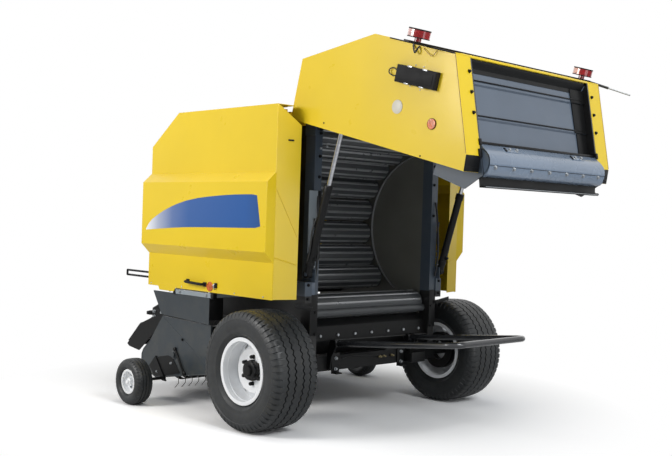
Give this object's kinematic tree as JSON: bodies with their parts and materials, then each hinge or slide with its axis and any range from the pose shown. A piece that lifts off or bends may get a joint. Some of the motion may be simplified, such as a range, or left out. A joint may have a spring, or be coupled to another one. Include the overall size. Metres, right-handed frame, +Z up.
{
  "type": "round baler",
  "caption": "Towed round baler with an open tailgate, roller chamber, tined pickup, gauge wheels, lifting side doors, bale hoop, drawbar and parking jack.",
  "frame": {"origin": "on the ground under the middle of the whole machine with the tailgate open", "axes": "+X the way it travels, +Y its left side, +Z up"},
  "size_m": [4.6905, 2.67, 2.7289],
  "materials": {
    "yellow": "gloss paint",
    "blue_grey": "satin paint",
    "dark_plate": "satin paint",
    "black_frame": "gloss paint",
    "roll_steel": "satin paint",
    "reel_steel": "spring steel",
    "light_grey": "satin paint",
    "tyre": "moulded rubber",
    "rim_white": "satin paint",
    "chrome": "polished",
    "gearbox_iron": "painted casting",
    "shaft_guard": "moulded plastic",
    "lamp_red": "clear red lens",
    "box_plastic": "moulded plastic"
  },
  "bodies": {
    "frame": {"axle_beam": "black_frame", "chamber_walls": "dark_plate", "rear_posts": "blue_grey", "front_rolls": "roll_steel", "cross_sheet": "dark_plate", "feeder_pan": "dark_plate", "roof_deck": "yellow", "front_cover": "yellow", "drawbar": "black_frame", "front_cross_beam": "black_frame", "gearbox": "gearbox_iron", "input_shaft": "shaft_guard", "hose_holder": "black_frame", "jack_sleeve": "black_frame", "hoop_brackets": "black_frame", "side_skirts": "dark_plate", "door_rails": "light_grey"},
    "tailgate": {"tailgate_walls": "blue_grey", "tailgate_skin_left": "yellow", "tailgate_skin_right": "yellow", "tailgate_cover": "yellow", "end_panels": "blue_grey", "tailgate_rolls": "roll_steel", "end_roll_cover": "blue_grey", "lamp_bar": "blue_grey", "tail_lamps": "lamp_red", "side_box": "box_plastic"},
    "pickup": {"pickup_plates": "dark_plate", "pickup_frame": "black_frame", "gauge_arms": "black_frame"},
    "reel": {"tine_reel": "reel_steel"},
    "wind_guard": {"wind_guard": "black_frame"},
    "net_lid": {"net_box_lid": "yellow"},
    "jack": {"jack_leg": "light_grey"},
    "hoop": {"bale_hoop": "black_frame"},
    "wheel_left": {"tyre_left": "tyre", "rim_left": "rim_white"},
    "gauge_wheel_left": {"gauge_tyre_left": "tyre", "gauge_rim_left": "rim_white"},
    "door_left": {"side_door_left": "yellow"},
    "barrel_left": {"cylinder_barrel_left": "black_frame"},
    "rod_left": {"cylinder_rod_left": "chrome"},
    "wheel_right": {"tyre_right": "tyre", "rim_right": "rim_white"},
    "gauge_wheel_right": {"gauge_tyre_right": "tyre", "gauge_rim_right": "rim_white"},
    "door_right": {"side_door_right": "yellow"},
    "barrel_right": {"cylinder_barrel_right": "black_frame"},
    "rod_right": {"cylinder_rod_right": "chrome"}
  },
  "joints": [
    {"name": "wheel_left", "type": "hinge", "parent": "frame", "child": "wheel_left", "pos_m": [-0.68668, 1.035, 0.425], "axis": [0, 1, 0], "continuous": true},
    {"name": "wheel_right", "type": "hinge", "parent": "frame", "child": "wheel_right", "pos_m": [-0.68668, -1.035, 0.425], "axis": [0, 1, 0], "continuous": true},
    {"name": "tailgate", "type": "hinge", "parent": "frame", "child": "tailgate", "pos_m": [-0.80668, 0, 2.2], "axis": [0, 1, 0], "range_deg": [-70, 0]},
    {"name": "cylinder_left", "type": "hinge", "parent": "frame", "child": "barrel_left", "pos_m": [-0.81668, 0.729, 1.1], "axis": [0, 1, 0], "range_deg": [0, 3.92]},
    {"name": "rod_left", "type": "slide", "parent": "barrel_left", "child": "rod_left", "axis": [-0.2871, 0, 0.9579], "range_m": [-0.4159, 0]},
    {"name": "cylinder_right", "type": "hinge", "parent": "frame", "child": "barrel_right", "pos_m": [-0.81668, -0.729, 1.1], "axis": [0, 1, 0], "range_deg": [0, 3.92]},
    {"name": "rod_right", "type": "slide", "parent": "barrel_right", "child": "rod_right", "axis": [-0.2871, 0, 0.9579], "range_m": [-0.4159, 0]},
    {"name": "side_door_left", "type": "hinge", "parent": "frame", "child": "door_left", "pos_m": [-0.68668, 0.815, 2.282], "axis": [1, 0, 0], "range_deg": [0, 60]},
    {"name": "side_door_right", "type": "hinge", "parent": "frame", "child": "door_right", "pos_m": [-0.68668, -0.815, 2.282], "axis": [-1, 0, 0], "range_deg": [0, 60]},
    {"name": "net_box_lid", "type": "hinge", "parent": "frame", "child": "net_lid", "pos_m": [0.46332, 0, 2.264], "axis": [0, -1, 0], "range_deg": [0, 70]},
    {"name": "jack_slide", "type": "slide", "parent": "frame", "child": "jack", "axis": [0, 0, 1], "range_m": [0, 0.4]},
    {"name": "bale_hoop", "type": "hinge", "parent": "frame", "child": "hoop", "pos_m": [-0.79668, 0, 0.575], "axis": [0, -1, 0], "range_deg": [0, 12]},
    {"name": "pickup_lift", "type": "hinge", "parent": "frame", "child": "pickup", "pos_m": [0.01332, 0, 0.59], "axis": [0, -1, 0], "range_deg": [0, 10]},
    {"name": "reel", "type": "hinge", "parent": "pickup", "child": "reel", "pos_m": [0.46332, 0, 0.38], "axis": [0, 1, 0], "continuous": true},
    {"name": "wind_guard", "type": "hinge", "parent": "pickup", "child": "wind_guard", "pos_m": [0.64332, 0, 0.64], "axis": [0, -1, 0], "range_deg": [0, 15]},
    {"name": "gauge_wheel_left", "type": "hinge", "parent": "pickup", "child": "gauge_wheel_left", "pos_m": [0.58332, 1.26, 0.18], "axis": [0, 1, 0], "continuous": true},
    {"name": "gauge_wheel_right", "type": "hinge", "parent": "pickup", "child": "gauge_wheel_right", "pos_m": [0.58332, -1.26, 0.18], "axis": [0, 1, 0], "continuous": true}
  ],
  "couplings": [
    {"joint": "cylinder_left", "follows": "tailgate", "ratio": -0.055807},
    {"joint": "rod_left", "follows": "tailgate", "m_per_rad": 0.33998},
    {"joint": "cylinder_right", "follows": "tailgate", "ratio": -0.055807},
    {"joint": "rod_right", "follows": "tailgate", "m_per_rad": 0.33998}
  ]
}
